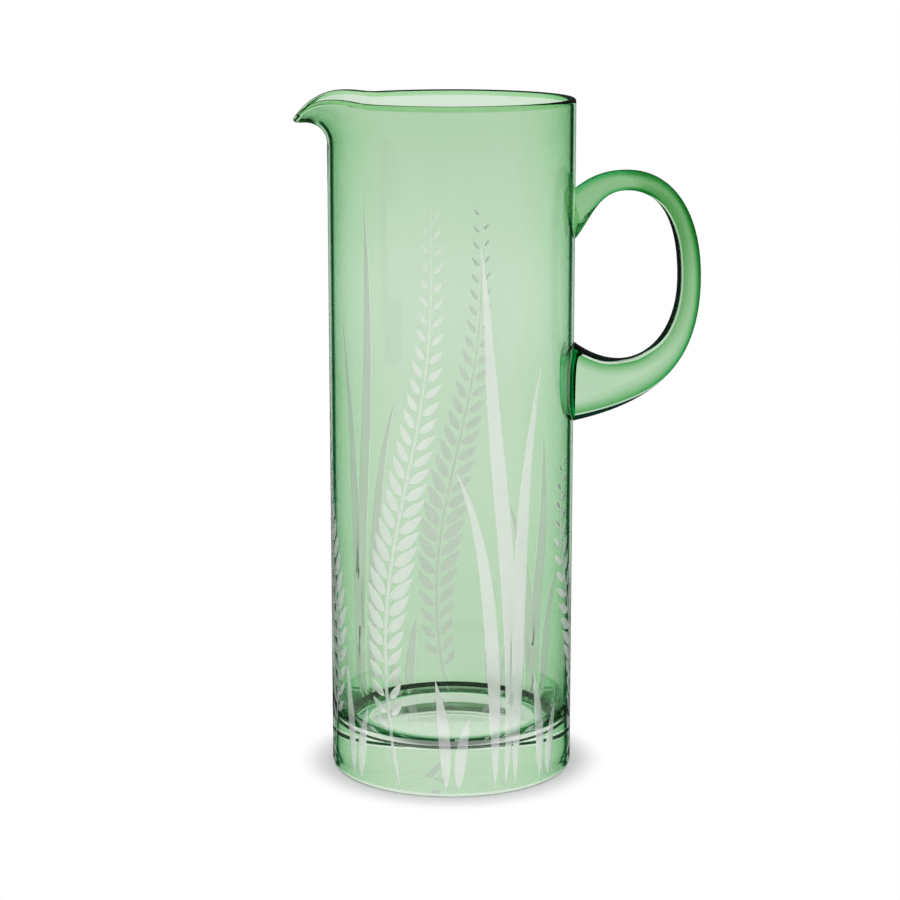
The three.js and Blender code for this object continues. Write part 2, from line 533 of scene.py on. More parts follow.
@dataclass(frozen=True)
class GroundGlass:
    """Glass cut with a wheel and left matt, pale and finely grained."""

    name: str
    light: Colour = (0.93, 0.95, 0.92)
    dark: Colour = (0.80, 0.84, 0.79)
    cloud_scale: float = 60.0
    cloud_detail: float = 4.0
    grain_scale: float = 900.0
    grain_detail: float = 2.0
    grain_height: float = 0.04 * MM
    grain_strength: float = 0.6
    roughness: float = 0.34
    clarity: float = 0.72
    ior: float = 1.5

    def material(self) -> Material:
        """Builds the procedural material.

        Returns:
            The material, with a clouded colour and a fine bump.
        """
        material, sheet, shader = new_material(self.name, self.roughness, self.ior, self.clarity)
        place = sheet.add("ShaderNodeTexCoord").outputs["Object"]
        cloud = sheet.noise(place, self.cloud_scale, self.cloud_detail)
        grain = sheet.noise(place, self.grain_scale, self.grain_detail)
        sheet.feed(shader.inputs["Base Color"], sheet.blend(cloud, self.dark, self.light))
        bump = sheet.add("ShaderNodeBump", {
            "Height": grain, "Distance": self.grain_height, "Strength": self.grain_strength})
        sheet.feed(shader.inputs["Normal"], bump.outputs["Normal"])
        return material


class ShellMesh:
    """Collects the faces of one closed shell, welds them and makes the object."""

    WELD = 1e-7

    def __init__(self) -> None:
        """Starts empty."""
        self.points: list[np.ndarray] = []
        self.faces: list[tuple[int, ...]] = []
        self.skins: list[Skin] = []
        self.radial: list[bool] = []
        self.flat: list[bool] = []

    def add_points(self, points: np.ndarray) -> int:
        """Adds points.

        Args:
            points: the points, of any shape that ends in 3.

        Returns:
            The index of the first.
        """
        start = sum(len(block) for block in self.points)
        self.points.append(np.asarray(points, float).reshape(-1, 3))
        return start

    def add_face(self, corners: Sequence[int], skin: Skin, radial: bool = False,
                 flat: bool = False) -> None:
        """Adds one face.

        Args:
            corners: indices of its points, counter-clockwise from outside.
            skin: which finish it takes.
            radial: whether its normals point straight out from the jug's axis.
            flat: whether it is shaded flat.
        """
        self.faces.append(tuple(corners))
        self.skins.append(skin)
        self.radial.append(radial)
        self.flat.append(flat)

    def add_rows(self, rows: np.ndarray, skins: Sequence[Union[Skin, Sequence[Skin]]]) -> None:
        """Adds the bands between successive closed rings of points.

        Args:
            rows: array of rings, shaped rings by columns by 3.
            skins: the finish of each band, one for all its columns or one for each.
        """
        rings, columns = rows.shape[:2]
        start = self.add_points(rows)
        for ring in range(rings - 1):
            low = start + ring * columns
            high = low + columns
            band = [skins[ring]] * columns if isinstance(skins[ring], Skin) else skins[ring]
            for column in range(columns):
                after = (column + 1) % columns
                self.add_face((low + column, low + after, high + after, high + column), band[column])

    def make(self, name: str, materials: dict[Skin, Material], sharp: float) -> Thing:
        """Welds the points and makes the object.

        Args:
            name: the object's name.
            materials: the material of each skin.
            sharp: angle in radians past which an edge is shaded as a corner.

        Returns:
            The object, linked to the scene.
        """
        points = np.concatenate(self.points)
        keys = np.round(points / self.WELD).astype(np.int64)
        _, first, index = np.unique(keys, axis=0, return_index=True, return_inverse=True)
        index = index.reshape(-1)
        kept: list[tuple[list[int], int]] = []
        for number, face in enumerate(self.faces):
            corners = [int(index[c]) for c in face]
            corners = [c for i, c in enumerate(corners) if c != corners[i - 1]]
            if len(set(corners)) >= 3:
                kept.append((corners, number))
        mesh = bpy.data.meshes.new(name)
        mesh.from_pydata(points[first].tolist(), [], [corners for corners, _ in kept])
        for material in materials.values():
            mesh.materials.append(material)
        order = list(materials)
        mesh.polygons.foreach_set("material_index", [order.index(self.skins[n]) for _, n in kept])
        mesh.polygons.foreach_set("use_smooth", [not self.flat[n] for _, n in kept])
        mesh.update()
        mesh.set_sharp_from_angle(angle=sharp)
        if any(self.radial):
            self.turn_out(mesh, [self.radial[n] for _, n in kept])
        mesh.validate()
        return stand(name, mesh)

    @staticmethod
    def turn_out(mesh: Mesh, radial: Sequence[bool]) -> None:
        """Sets exact normals on the faces that lie on the jug's round wall.

        Args:
            mesh: the mesh.
            radial: whether each face lies on the wall.
        """
        normals = [(0.0, 0.0, 0.0)] * len(mesh.loops)
        for polygon, wanted in zip(mesh.polygons, radial):
            if not wanted:
                continue
            for loop in polygon.loop_indices:
                place = mesh.vertices[mesh.loops[loop].vertex_index].co
                away = Vector((place.x, place.y, 0.0)).normalized()
                normals[loop] = (away if polygon.normal.dot(away) > 0.0 else -away).to_tuple()
        mesh.normals_split_custom_set(normals)


@dataclass(frozen=True)
class BodyShape:
    """The spun shape of the body and its pulled lip, in metres, with the lip towards -X."""

    LEAST_TURN = 1e-6

    radius: float = 50.0 * MM
    rim_height: float = 277.5 * MM
    wall: float = 2.7 * MM
    casing: float = 0.7 * MM
    floor: float = 17.5 * MM
    floor_fillet: float = 12.0 * MM
    arris: float = 1.6 * MM
    seam: float = 0.02 * MM
    lip_length: float = 18.1 * MM
    lip_bend: float = 8.2 * MM
    lip_turn: float = math.radians(91.0)
    lip_spread: float = math.radians(53.0)
    shoulder_rise: float = 2.1 * MM
    shoulder_place: float = math.radians(25.0)
    columns: int = 240
    lip_rows: int = 20
    wall_rows: int = 12
    arc_rows: int = 10

    @property
    def bead(self) -> float:
        """Radius of the rounded rim."""
        return self.wall / 2.0

    @property
    def lip_start(self) -> float:
        """Height at which the lip begins to bend."""
        return self.rim_height - self.lip_length

    @property
    def bead_split(self) -> float:
        """Angle on the rim's round at which the casing ends."""
        return math.acos((self.bead - self.casing) / self.bead)

    @property
    def arris_split(self) -> float:
        """Angle on the base's ground edge at which the casing ends."""
        return math.acos((self.arris - self.casing) / self.arris)

    def angles(self) -> np.ndarray:
        """Angles of the columns about the axis, from the handle at +X."""
        return np.arange(self.columns) * 2.0 * np.pi / self.columns

    def lip_share(self, angle: np.ndarray) -> np.ndarray:
        """Share of the lip's full pull at angles about the axis."""
        away = np.abs(np.mod(angle, 2.0 * np.pi) - np.pi)
        return np.cos(np.pi / 2.0 * np.minimum(away / self.lip_spread, 1.0)) ** 2

    def pulled(self, radius: np.ndarray, height: np.ndarray,
               angle: np.ndarray) -> tuple[np.ndarray, np.ndarray]:
        """Bends the wall outwards at the lip and lifts the rim at the lip's shoulders.

        Args:
            radius: distance of the points from the axis before bending.
            height: height of the points before bending.
            angle: angle of the points about the axis.

        Returns:
            The radius and height after bending.
        """
        away = np.abs(np.mod(angle, 2.0 * np.pi) - np.pi)
        share = self.lip_share(angle)
        shoulder = np.sin(np.pi / 2.0 * np.minimum(away / self.shoulder_place, 2.0)) ** 2
        above = np.maximum(height - self.lip_start, 0.0)
        depth = self.radius - radius
        bend_length = min(self.lip_bend * self.lip_turn, self.lip_length)
        turn = np.maximum(share * self.lip_turn, self.LEAST_TURN)
        bent = np.minimum(above, bend_length)
        straight = above - bent
        tilt = turn * bent / bend_length
        bend_radius = bend_length / turn
        out = bend_radius * (1.0 - np.cos(tilt)) + straight * np.sin(tilt)
        up = bend_radius * np.sin(tilt) + straight * np.cos(tilt)
        rise = self.shoulder_rise * shoulder * (above / self.lip_length) ** 2
        bent_radius = self.radius + out - depth * np.cos(tilt)
        bent_height = self.lip_start + up + depth * np.sin(tilt) + rise
        inside = height <= self.lip_start
        return np.where(inside, radius, bent_radius), np.where(inside, height, bent_height)

    def rings(self, profile: Sequence[Pair]) -> np.ndarray:
        """Spins a profile and pulls its lip.

        Args:
            profile: radius and height of each ring.

        Returns:
            Points shaped rings by columns by 3.
        """
        line = np.asarray(profile, float)
        angle = np.broadcast_to(self.angles(), (len(line), self.columns))
        radius, height = self.pulled(line[:, :1] + 0.0 * angle, line[:, 1:] + 0.0 * angle, angle)
        return np.stack((radius * np.cos(angle), radius * np.sin(angle), height), axis=-1)

    @staticmethod
    def arc(centre: Pair, radius: float, start: float, end: float,
            steps: int) -> list[Pair]:
        """Points on an arc of the profile.

        Args:
            centre: radius and height of the arc's centre.
            radius: the arc's radius.
            start: first angle, from the outward direction.
            end: last angle.
            steps: number of steps.

        Returns:
            The points, both ends included.
        """
        turns = np.linspace(start, end, steps + 1)
        return [(centre[0] + radius * math.cos(t), centre[1] + radius * math.sin(t)) for t in turns]

    def rim_arc(self, start: float, end: float) -> list[Pair]:
        """Points on the rounded rim between two angles."""
        centre = (self.radius - self.bead, self.rim_height - self.bead)
        return self.arc(centre, self.bead, start, end, self.arc_rows)

    def arris_arc(self, start: float, end: float) -> list[Pair]:
        """Points on the ground edge under the base between two angles."""
        centre = (self.radius - self.arris, self.arris)
        return self.arc(centre, self.arris, start, end, self.arc_rows)

    def lip_climb(self, radius: float, high: float) -> list[Pair]:
        """Points up the bending part of the wall at one radius."""
        return [(radius, float(z)) for z in np.linspace(self.lip_start, high, self.lip_rows + 1)]

    def climb(self, radius: float, low: float, high: float) -> list[Pair]:
        """Points up the whole wall at one radius, closer together in the lip."""
        lower = np.linspace(low, self.lip_start, self.wall_rows + 1)[:-1]
        return [(radius, float(z)) for z in lower] + self.lip_climb(radius, high)


@dataclass
class Vessel:
    """The clear blown body with its thick base."""

    shape: BodyShape
    polished: ClearGlass = ClearGlass("clear_glass_polished")
    fused: FusedGlass = FusedGlass("clear_glass_fused")
    # Green rim with a painted dark outline where it turns edge on.
    rim: StainedGlass = StainedGlass("clear_glass_rim_painted_outline", RIM_TINT_AND_PAINTED_OUTLINE)
    # Painted dark line: opaque near-black bands on the rim's top and in the floor's corner, standing in for
    # shade.
    edge: StainedGlass = StainedGlass("clear_glass_painted_dark_line", PAINTED_DARK_LINE_COLOURS, ior=1.5, clarity=0.0)
    painted_rim_line_rows: tuple[int, int] = (3, 7)
    # The rim along the lip, with a painted dark outline where it turns edge on.
    lip: StainedGlass = StainedGlass("clear_glass_lip_painted_outline", LIP_RIM_TINT_AND_PAINTED_OUTLINE, ior=1.0)
    painted_lip_line_rows: tuple[int, int] = (3, 8)
    lip_least: float = 0.06
    # The floor's corner, painted dark where it turns edge on.
    corner: StainedGlass = StainedGlass("clear_glass_corner_painted_shade", CORNER_TINT_AND_PAINTED_SHADE)
    painted_corner_line_rows: tuple[int, int] = (11, 14)
    rim_band: float = 1.0 * MM
    hollow_radius: float = 36.0 * MM
    hollow_depth: float = 1.4 * MM
    hollow_edge: float = 0.4 * MM
    disc_rings: int = 9
    sharp: float = math.radians(40.0)

    def hollow(self, radius: float) -> float:
        """Height of the hollowed underside at a distance from the axis."""
        return self.hollow_depth * max(1.0 - (radius / self.hollow_radius) ** 2, 0.0)

    def rim_skins(self, row: int) -> list[Skin]:
        """The finish of one band of the rim, whose painted dark line gets thin along the lip.

        Args:
            row: number of the band on the rim's round.

        Returns:
            The finish of each column.
        """
        skins = []
        for share in self.shape.lip_share(self.shape.angles()):
            pulled = share > self.lip_least
            first, last = self.painted_lip_line_rows if pulled else self.painted_rim_line_rows
            plain = Skin.LIP if pulled else Skin.RIM
            skins.append(Skin.EDGE if first <= row < last else plain)
        return skins

    def profile(self) -> tuple[list[Pair], list[Union[Skin, list[Skin]]]]:
        """The section from the middle of the underside to the middle of the floor.

        Returns:
            The points and the finish of each band between them.
        """
        shape = self.shape
        outer = shape.radius - shape.casing - shape.seam
        inner = shape.radius - shape.wall
        steps = np.linspace(0.0, self.hollow_radius, self.disc_rings)[1:-1]
        brim = self.hollow_radius + self.hollow_edge * np.array((-1.0, 1.0))
        under = [(r, self.hollow(r)) for r in (*steps, *brim)]
        under += shape.arris_arc(-math.pi / 2.0, -shape.arris_split)
        rim = shape.rim_arc(shape.bead_split, math.pi)
        wall = shape.climb(outer, under[-1][1], rim[0][1])
        lining = shape.climb(inner, shape.floor + shape.floor_fillet, rim[-1][1] - self.rim_band)[::-1]
        corner = (inner - shape.floor_fillet, shape.floor + shape.floor_fillet)
        fillet = shape.arc(corner, shape.floor_fillet, 0.0, -math.pi / 2.0, 2 * shape.arc_rows)
        disc = [(r, shape.floor) for r in np.linspace(fillet[-1][0], 0.0, self.disc_rings)[1:-1]]
        line = under + wall[1:] + rim[1:] + lining + fillet[1:] + disc
        skins = [Skin.POLISHED] * (len(under) - 1)
        skins += [Skin.FUSED] * (len(wall) - 1) + [self.rim_skins(row) for row in range(len(rim))]
        skins += [Skin.POLISHED] * (len(lining) - 1)
        # Rows of the floor's corner painted as a dark line of shade.
        first, last = self.painted_corner_line_rows
        skins += [Skin.EDGE if first <= row < last else Skin.CORNER for row in range(len(fillet) - 1)]
        skins += [Skin.POLISHED] * (len(line) - 1 - len(skins))
        return line, skins

    def build(self) -> Thing:
        """Makes the mesh, dresses it and sets it in the frame.

        Returns:
            The finished piece.
        """
        shell = ShellMesh()
        line, skins = self.profile()
        rings = self.shape.rings(line)
        shell.add_rows(rings, skins)
        columns = self.shape.columns
        for ring, height, turn in ((0, self.hollow_depth, -1), (len(line) - 1, self.shape.floor, 1)):
            middle = shell.add_points(np.array([(0.0, 0.0, height)]))
            for column in range(columns):
                pair = (ring * columns + column, ring * columns + (column + 1) % columns)
                shell.add_face((middle, *pair[::turn]), Skin.POLISHED)
        thing = shell.make("jug_vessel", self.dress(), self.sharp)
        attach(thing, BODY)
        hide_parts("clear_vessel")
        return thing

    def dress(self) -> dict[Skin, Material]:
        """Builds the finishes.

        Returns:
            The material of each skin.
        """
        return {Skin.POLISHED: self.polished.material(), Skin.FUSED: self.fused.material(),
                Skin.RIM: self.rim.material(), Skin.EDGE: self.edge.material(),
                Skin.CORNER: self.corner.material(), Skin.LIP: self.lip.material()}


def geometry_tree(name: str, inputs: dict[str, str]) -> tuple[Tree, NodeSheet, Node]:
    """Starts a Geometry Nodes tree with named inputs.

    Args:
        name: the tree's name.
        inputs: socket type of each input after the geometry, by name.

    Returns:
        The tree, its sheet and its Group Input node.
    """
    tree = bpy.data.node_groups.new(name, "GeometryNodeTree")
    tree.interface.new_socket("Geometry", in_out="INPUT", socket_type="NodeSocketGeometry")
    for label, kind in inputs.items():
        tree.interface.new_socket(label, in_out="INPUT", socket_type="NodeSocket" + kind)
    tree.interface.new_socket("Geometry", in_out="OUTPUT", socket_type="NodeSocketGeometry")
    sheet = NodeSheet(tree)
    return tree, sheet, sheet.add("NodeGroupInput")


def end_tree(sheet: NodeSheet, geometry: Socket, material: Socket) -> None:
    """Ends a tree in Realize Instances and Set Material.

    Args:
        sheet: the tree's sheet.
        geometry: the geometry to finish.
        material: the finish.
    """
    real = sheet.add("GeometryNodeRealizeInstances", {"Geometry": geometry})
    dressed = sheet.add("GeometryNodeSetMaterial", {"Geometry": real.outputs[0], "Material": material})
    sheet.add("NodeGroupOutput", {"Geometry": dressed.outputs[0]})


def polyline(name: str, points: np.ndarray, marks: dict[str, np.ndarray] | None = None) -> Thing:
    """Makes an object of points joined in order.

    Args:
        name: the object's name.
        points: the points.
        marks: float attributes to store on them, by name.

    Returns:
        The object, linked to the scene.
    """
    mesh = bpy.data.meshes.new(name)
    mesh.from_pydata(points.tolist(), [(i, i + 1) for i in range(len(points) - 1)], [])
    for label, values in (marks or {}).items():
        mesh.attributes.new(label, "FLOAT", "POINT").data.foreach_set("value", np.asarray(values, float))
    return stand(name, mesh)


def grow(thing: Thing, tree: Tree, values: dict[str, object]) -> Mesh:
    """Runs a Geometry Nodes tree on an object.

    Args:
        thing: the object that carries the tree's geometry.
        tree: the tree.
        values: the tree's inputs, by name.

    Returns:
        The result as a plain mesh.
    """
    modifier = thing.modifiers.new(tree.name, "NODES")
    modifier.node_group = tree
    for item in tree.interface.items_tree:
        if item.item_type == "SOCKET" and item.in_out == "INPUT" and item.name in values:
            modifier[item.identifier] = values[item.name]
    depsgraph = bpy.context.evaluated_depsgraph_get()
    mesh = bpy.data.meshes.new_from_object(thing.evaluated_get(depsgraph))
    thing.modifiers.remove(modifier)
    return mesh


def discard(*things: Thing) -> None:
    """Removes helper objects and their meshes.

    Args:
        things: the objects.
    """
    for thing in things:
        mesh = thing.data
        bpy.data.objects.remove(thing)
        bpy.data.meshes.remove(mesh)


@dataclass(frozen=True)
class Spray:
    """One plant of the cut design, in millimetres on the unrolled wall."""

    kind: SprayKind
    place: float
    height: float
    lean: float


@dataclass
class CutDesign:
    """Fern fronds and reeds, cut as mitred leaves into the unrolled wall, in millimetres.

    LEAF_SPANS holds the side, start and end of the parts of a stem that carry leaflets. Each of the reeds
    is given by its foot and tip across the clump and by its shares of the full height and width.
    """

    WELD = 0.01
    BLADE_ROUND = 0.8
    LEAF_SPANS = ((1.0, 0.10, 0.955), (-1.0, 0.125, 0.98))
    LEAF_RISE = (0.62, 1.0, 0.0, 0.3)
    LEAF_FALL = (1.0, 0.24, 0.25, 1.0)

    girth: float
    foot: float = 3.2
    depth: float = 0.52
    stem_points: int = 48
    stem_half: float = 0.75
    stem_depth: float = 0.6
    stem_belly: float = 0.42
    leaf_pairs_per_mm: float = 0.125
    leaf_length: float = 14.0
    leaf_half: float = 0.17
    leaf_lean: float = math.radians(50.0)
    leaf_gap: float = 1.15
    leaf_belly: float = 0.75
    leaf_round: float = 0.85
    leaf_bend: float = -0.16
    sway: float = 6.5
    blade_half: float = 3.3
    blade_belly: float = 0.85
    reeds: tuple[tuple[float, float, float, float], ...] = (
        (-4.6, -20.0, 0.60, 0.85), (0.0, -7.0, 1.0, 1.0), (4.6, 19.0, 0.78, 0.95))
    reed_flick: Pair = (0.45, 0.55)
    reed_sway: float = 2.4
    side_lean: float = 0.3
    tip_play: float = 0.8
    height_play: Pair = (0.97, 1.02)
    tuft_height: float = 46.0
    tuft_half: float = 2.3
    tuft_foot: float = 2.6
    tuft_spread: float = 4.4
    tuft_bend: float = 2.2
    tuft_leaves: Pairs = ((-1.0, 1.0), (1.0, 0.66))
    segments: int = 44
    leaf_segments: int = 8
    seed: int = 11
    sprays: tuple[Spray, ...] = (
        Spray(SprayKind.FERN, -22.0, 236.0, 14.0),
        Spray(SprayKind.REED, 22.9, 222.0, -5.0),
        Spray(SprayKind.FERN, 65.8, 132.0, -9.0),
        Spray(SprayKind.REED, -202.0, 130.0, 3.0),
        Spray(SprayKind.FERN, -156.6, 226.0, -14.0),
        Spray(SprayKind.REED, -111.7, 236.0, 5.0),
        Spray(SprayKind.FERN, -66.8, 190.0, -12.0),
    )
    points: list[Pair] = field(default_factory=list)
    depths: list[float] = field(default_factory=list)
    faces: list[list[int]] = field(default_factory=list)

    def blade_tree(self) -> Tree:
        """The tree that cuts one mitred blade along a path.

        Returns:
            A tree that turns a path into a strip of two slopes, its depth along -Z.
        """
        tree, sheet, given = geometry_tree("mitred_blade", {
            "Segments": "Int", "Half Width": "Float", "Depth": "Float", "Belly": "Float", "Cut": "Material"})
        path = sheet.add("GeometryNodeMeshToCurve", {"Mesh": given.outputs["Geometry"]})
        count = sheet.math("ADD", given.outputs["Segments"], 1.0)
        grid = sheet.add("GeometryNodeMeshGrid", {"Vertices X": count, "Vertices Y": 3})
        where = sheet.split(sheet.add("GeometryNodeInputPosition").outputs[0])
        along = sheet.math("ADD", where["X"], 0.5)
        side = sheet.product(where["Y"], 2.0)
        sample = sheet.add("GeometryNodeSampleCurve", {"Curves": path.outputs[0], "Factor": along},
                           mode="FACTOR")
        tangent = sheet.split(sample.outputs["Tangent"])
        centre = sheet.split(sample.outputs["Position"])
        eased = sheet.math("POWER", along, given.outputs["Belly"])
        swell = sheet.math("SINE", sheet.product(eased, math.pi))
        swell = sheet.math("POWER", sheet.math("MAXIMUM", swell, 0.0), self.BLADE_ROUND)
        reach = sheet.product(swell, given.outputs["Half Width"], side)
        x = sheet.math("SUBTRACT", centre["X"], sheet.product(tangent["Y"], reach))
        y = sheet.math("ADD", centre["Y"], sheet.product(tangent["X"], reach))
        ridge = sheet.math("SUBTRACT", sheet.math("ABSOLUTE", side), 1.0)
        deep = sheet.product(swell, given.outputs["Depth"], ridge)
        moved = sheet.add("GeometryNodeSetPosition", {
            "Geometry": grid.outputs["Mesh"], "Position": sheet.join(X=x, Y=y, Z=deep)})
        closed = sheet.add("GeometryNodeMergeByDistance", {
            "Geometry": moved.outputs[0], "Distance": self.WELD})
        end_tree(sheet, closed.outputs[0], given.outputs["Cut"])
        return tree

    def leaflet_tree(self) -> Tree:
        """The tree that sets leaflets on both sides of a frond's stem.

        Returns:
            A tree that repeats one mitred leaf along the path, shorter towards the tip.
        """
        tree, sheet, given = geometry_tree("paired_leaflets", {
            "Leaf": "Object", "Pairs": "Int", "Length": "Float", "Lean": "Float", "Gap": "Float",
            "Cut": "Material"})
        path = sheet.add("GeometryNodeMeshToCurve", {"Mesh": given.outputs["Geometry"]})
        leaf = sheet.add("GeometryNodeObjectInfo", {"Object": given.outputs["Leaf"]})
        joined = sheet.add("GeometryNodeJoinGeometry")
        for side, start, end in self.LEAF_SPANS:
            part = sheet.add("GeometryNodeTrimCurve", {"Curve": path.outputs[0], "Start": start, "End": end},
                             mode="FACTOR")
            spots = sheet.add("GeometryNodeResampleCurve", {
                "Curve": part.outputs[0], "Count": given.outputs["Pairs"]})
            tangent = sheet.split(sheet.add("GeometryNodeInputTangent").outputs[0])
            gap = sheet.product(given.outputs["Gap"], side)
            offset = sheet.join(X=sheet.product(gap, -1.0, tangent["Y"]), Y=sheet.product(tangent["X"], gap))
            shifted = sheet.add("GeometryNodeSetPosition", {"Geometry": spots.outputs[0], "Offset": offset})
            heading = sheet.math("ARCTAN2", tangent["Y"], tangent["X"])
            heading = sheet.math("ADD", heading, sheet.product(given.outputs["Lean"], side))
            turned = sheet.add("FunctionNodeEulerToRotation", {0: sheet.join(Z=heading)})
            place = sheet.add("GeometryNodeSplineParameter").outputs["Factor"]
            rising = sheet.ramp(place, *self.LEAF_RISE, "SMOOTHSTEP")
            size = sheet.product(rising, sheet.ramp(place, *self.LEAF_FALL), given.outputs["Length"])
            leaves = sheet.add("GeometryNodeInstanceOnPoints", {
                "Points": shifted.outputs[0], "Instance": leaf.outputs["Geometry"],
                "Rotation": turned.outputs[0],
                "Scale": sheet.join(X=size, Y=sheet.product(size, side), Z=1.0)})
            sheet.feed(joined.inputs[0], leaves.outputs[0])
        end_tree(sheet, joined.outputs[0], given.outputs["Cut"])
        return tree

    @property
    def pitch(self) -> float:
        """Distance from one spray to the next."""
        return self.girth / len(self.sprays)

    def keep(self, mesh: Mesh) -> None:
        """Adds a grown mesh to the design, each face counter-clockwise, and removes it.

        Args:
            mesh: the mesh.
        """
        start = len(self.points)
        for vertex in mesh.vertices:
            self.points.append((vertex.co.x, vertex.co.y))
            self.depths.append(-vertex.co.z)
        for polygon in mesh.polygons:
            corners = [start + v for v in polygon.vertices]
            self.faces.append(corners if polygon.normal.z > 0.0 else corners[::-1])
        bpy.data.meshes.remove(mesh)

    def fern_stem(self, spray: Spray) -> np.ndarray:
        """The path of a frond's stem.

        Args:
            spray: the frond's place and size.

        Returns:
            The points, from the foot to the tip.
        """
        share = np.linspace(0.0, 1.0, self.stem_points)
        swing = math.copysign(self.sway, spray.lean)
        across = spray.place + spray.lean * share ** 3 - swing * np.sin(share * np.pi * 2.0)
        return np.stack((across, self.foot + spray.height * share, 0.0 * share), axis=1)

    def reed_paths(self, spray: Spray, draw: Random) -> list[tuple[np.ndarray, float]]:
        """The paths of a clump of reeds.

        Args:
            spray: the clump's place and size.
            draw: source of the small differences between leaves.

        Returns:
            Each path with its half width.
        """
        share = np.linspace(0.0, 1.0, self.stem_points)
        early, late = self.reed_flick
        flick = early * share ** 2 + late * share ** 5
        paths = []
        for base, tip, tall, wide in self.reeds:
            lean = spray.lean * (self.side_lean if tall < 1.0 else 1.0)
            tip = tip + lean + draw.uniform(-self.tip_play, self.tip_play)
            sway = self.reed_sway * np.sin(share * 2.0 * np.pi) if tall == 1.0 else 0.0
            across = spray.place + base + (tip - base) * flick + sway
            height = self.foot + spray.height * tall * draw.uniform(*self.height_play) * share
            paths.append((np.stack((across, height, 0.0 * share), axis=1), self.blade_half * wide))
        return paths

    def tuft_paths(self, spray: Spray) -> list[tuple[np.ndarray, float]]:
        """The paths of the two short leaves between a spray and the one before it.

        Args:
            spray: the spray on the right of the tuft.

        Returns:
            Each path with its half width.
        """
        share = np.linspace(0.0, 1.0, self.stem_points)
        middle = spray.place - self.pitch / 2.0
        paths = []
        for side, tall in self.tuft_leaves:
            across = middle + side * (self.tuft_foot + self.tuft_spread * share ** self.tuft_bend)
            height = self.foot + self.tuft_height * tall * share
            paths.append((np.stack((across, height, 0.0 * share), axis=1), self.tuft_half))
        return paths

    def single_leaf(self) -> Thing:
        """One leaflet of unit length.

        Returns:
            A strip of two slopes that bends towards the stem's tip.
        """
        share = np.linspace(0.0, 1.0, self.leaf_segments + 1)
        swell = np.maximum(np.sin(np.pi * share ** self.leaf_belly), 0.0) ** self.leaf_round
        bend = self.leaf_bend * share ** 2
        points = [(0.0, 0.0, 0.0)]
        last = self.leaf_segments
        for step in range(1, last):
            for side in (-1.0, 0.0, 1.0):
                down = -self.depth * swell[step] * (1.0 - abs(side))
                points.append((share[step], bend[step] + side * swell[step] * self.leaf_half, down))
        points.append((1.0, bend[last], 0.0))
        tip = len(points) - 1
        faces = [(0, 2, 1), (0, 3, 2), (tip, tip - 3, tip - 2), (tip, tip - 2, tip - 1)]
        for step in range(last - 2):
            row = 1 + 3 * step
            faces += [(row, row + 1, row + 4, row + 3), (row + 1, row + 2, row + 5, row + 4)]
        mesh = bpy.data.meshes.new("leaflet")
        mesh.from_pydata(points, [], faces)
        return stand("leaflet", mesh)

    def draw(self, cut: Material) -> None:
        """Grows every spray and keeps its leaves.

        Args:
            cut: the finish of the cut faces.
        """
        blade, leaflets = self.blade_tree(), self.leaflet_tree()
        leaf = self.single_leaf()
        source = Random(self.seed)
        for spray in self.sprays:
            paths = self.tuft_paths(spray)
            if spray.kind is SprayKind.FERN:
                stem = polyline("stem", self.fern_stem(spray))
                self.keep(grow(stem, blade, {
                    "Segments": self.segments, "Half Width": self.stem_half,
                    "Depth": self.depth * self.stem_depth, "Belly": self.stem_belly, "Cut": cut}))
                pairs = round(spray.height * self.leaf_pairs_per_mm)
                self.keep(grow(stem, leaflets, {
                    "Leaf": leaf, "Pairs": pairs, "Length": self.leaf_length, "Lean": self.leaf_lean,
                    "Gap": self.leaf_gap, "Cut": cut}))
                discard(stem)
            else:
                paths += self.reed_paths(spray, source)
            for path, half in paths:
                line = polyline("reed", path)
                self.keep(grow(line, blade, {
                    "Segments": self.segments, "Half Width": half, "Depth": self.depth,
                    "Belly": self.blade_belly, "Cut": cut}))
                discard(line)
        discard(leaf)


